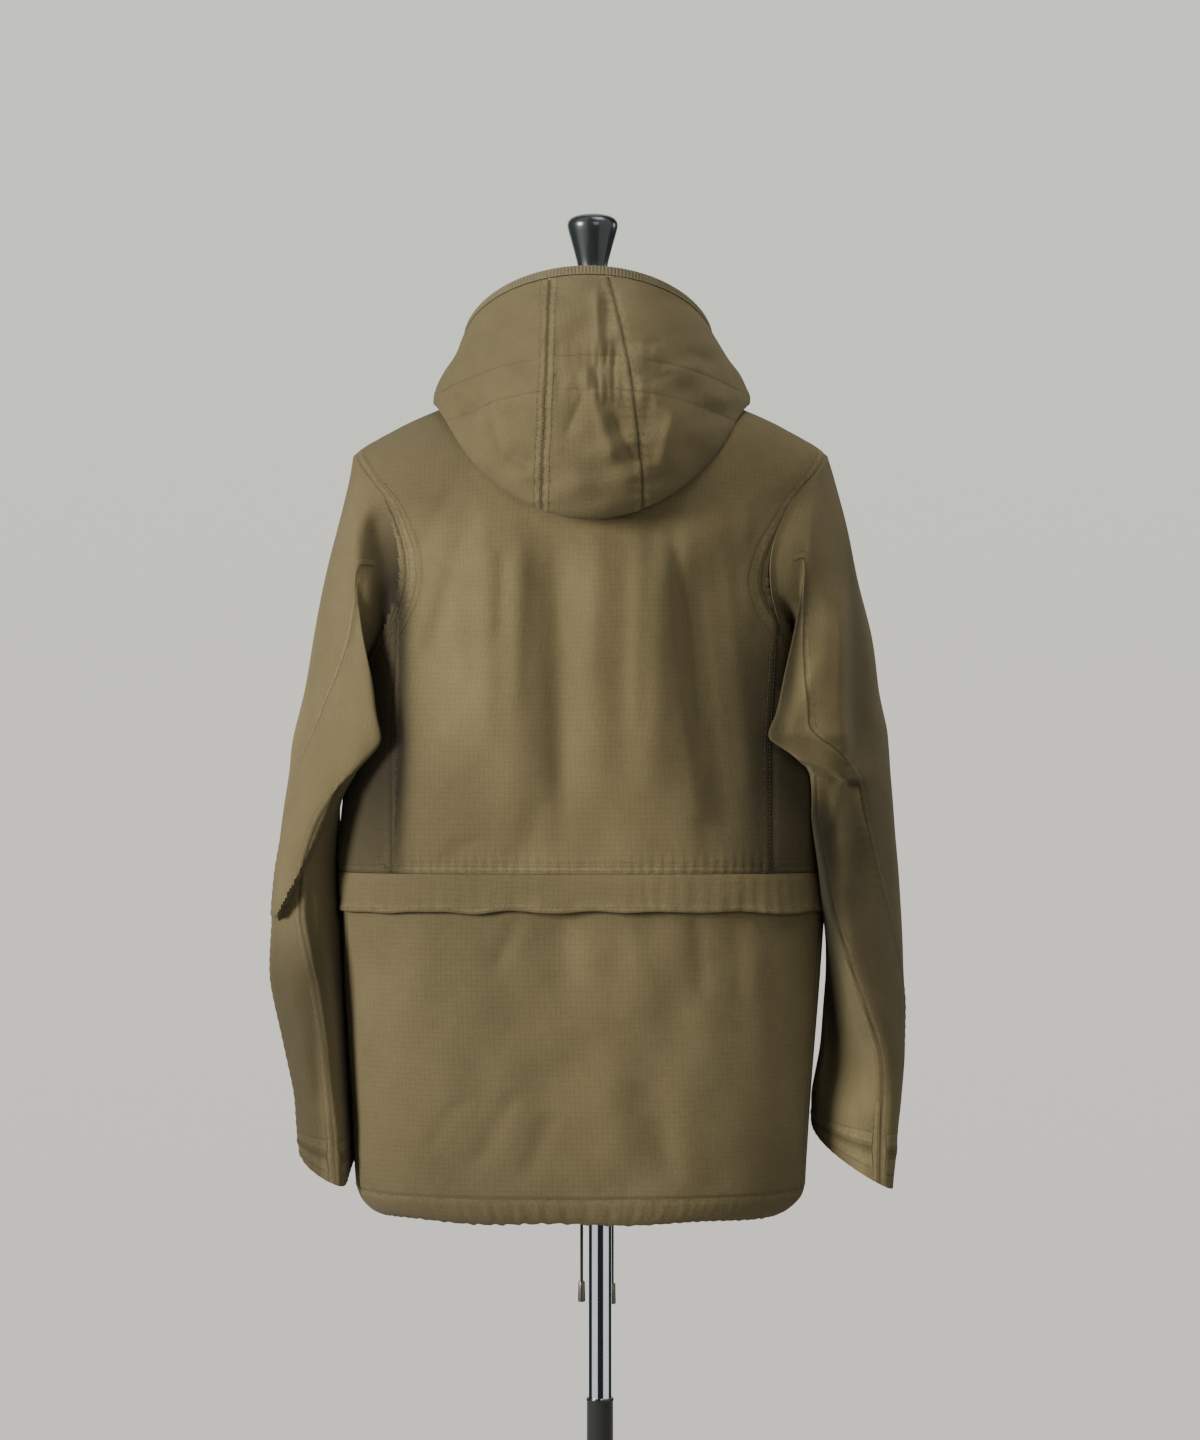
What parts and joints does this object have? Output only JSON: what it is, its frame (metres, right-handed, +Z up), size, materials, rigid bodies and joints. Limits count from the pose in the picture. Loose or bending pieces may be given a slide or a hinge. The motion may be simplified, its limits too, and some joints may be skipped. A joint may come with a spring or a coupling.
{
  "type": "anorak smock on a dress form with a telescopic stand",
  "caption": "Olive cotton hooded anorak smock with a waist band, drawcord hem and cuff tabs, worn by a limbless dress form that slides and turns on a round-based stand.",
  "frame": {"origin": "centre of the base's bottom face, on the floor", "axes": "+Z up along the pole, +Y the way the wearer faces, so the smock's back faces -Y, +X towards the wearer's right"},
  "size_m": [0.6028, 0.3445, 1.628],
  "materials": {
    "cotton_ripstop": "matte olive ripstop cotton",
    "ribbed_tape": "ribbed tape",
    "hook_and_loop": "fuzzy loop patch",
    "cord": "round braided cord",
    "form_linen": "plain woven cover",
    "black_gloss": "glossy black",
    "chrome": "polished",
    "black_tube": "glossy black",
    "black_base": "satin black",
    "dark_metal": "dark bronze"
  },
  "bodies": {
    "stand": {"stand_base": "black_base", "stand_tube": "black_tube"},
    "pole": {"stand_pole": "chrome"},
    "form": {"form_torso": "form_linen", "neck_cap": "black_gloss", "upper_back": "cotton_ripstop", "upper_front": "cotton_ripstop", "front_placket": "cotton_ripstop", "waist_band": "cotton_ripstop", "skirt_back": "cotton_ripstop", "skirt_front": "cotton_ripstop", "hem_casing": "cotton_ripstop", "left_sleeve_outer_panel": "cotton_ripstop", "left_sleeve_elbow_panel": "cotton_ripstop", "left_sleeve_under_panel": "cotton_ripstop", "right_sleeve_outer_panel": "cotton_ripstop", "right_sleeve_elbow_panel": "cotton_ripstop", "right_sleeve_under_panel": "cotton_ripstop", "sleeve_pocket": "cotton_ripstop", "sleeve_pocket_flap": "cotton_ripstop", "left_cuff_tab": "cotton_ripstop", "right_cuff_tab": "cotton_ripstop", "hood_left": "cotton_ripstop", "hood_centre": "cotton_ripstop", "hood_right": "cotton_ripstop", "left_tab_patch": "hook_and_loop", "right_tab_patch": "hook_and_loop", "hood_edge_tape": "ribbed_tape", "hem_eyelet_left": "dark_metal", "hem_eyelet_right": "dark_metal", "cord_end_left": "dark_metal", "cord_end_right": "dark_metal", "drawcord_left": "cord", "drawcord_right": "cord"}
  },
  "joints": [
    {"name": "height_slide", "type": "slide", "parent": "stand", "child": "pole", "axis": [0, 0, 1], "range_m": [-0.15, 0.12]},
    {"name": "form_swivel", "type": "hinge", "parent": "pole", "child": "form", "pos_m": [0, 0, 0.79], "axis": [0, 0, 1], "continuous": true}
  ]
}
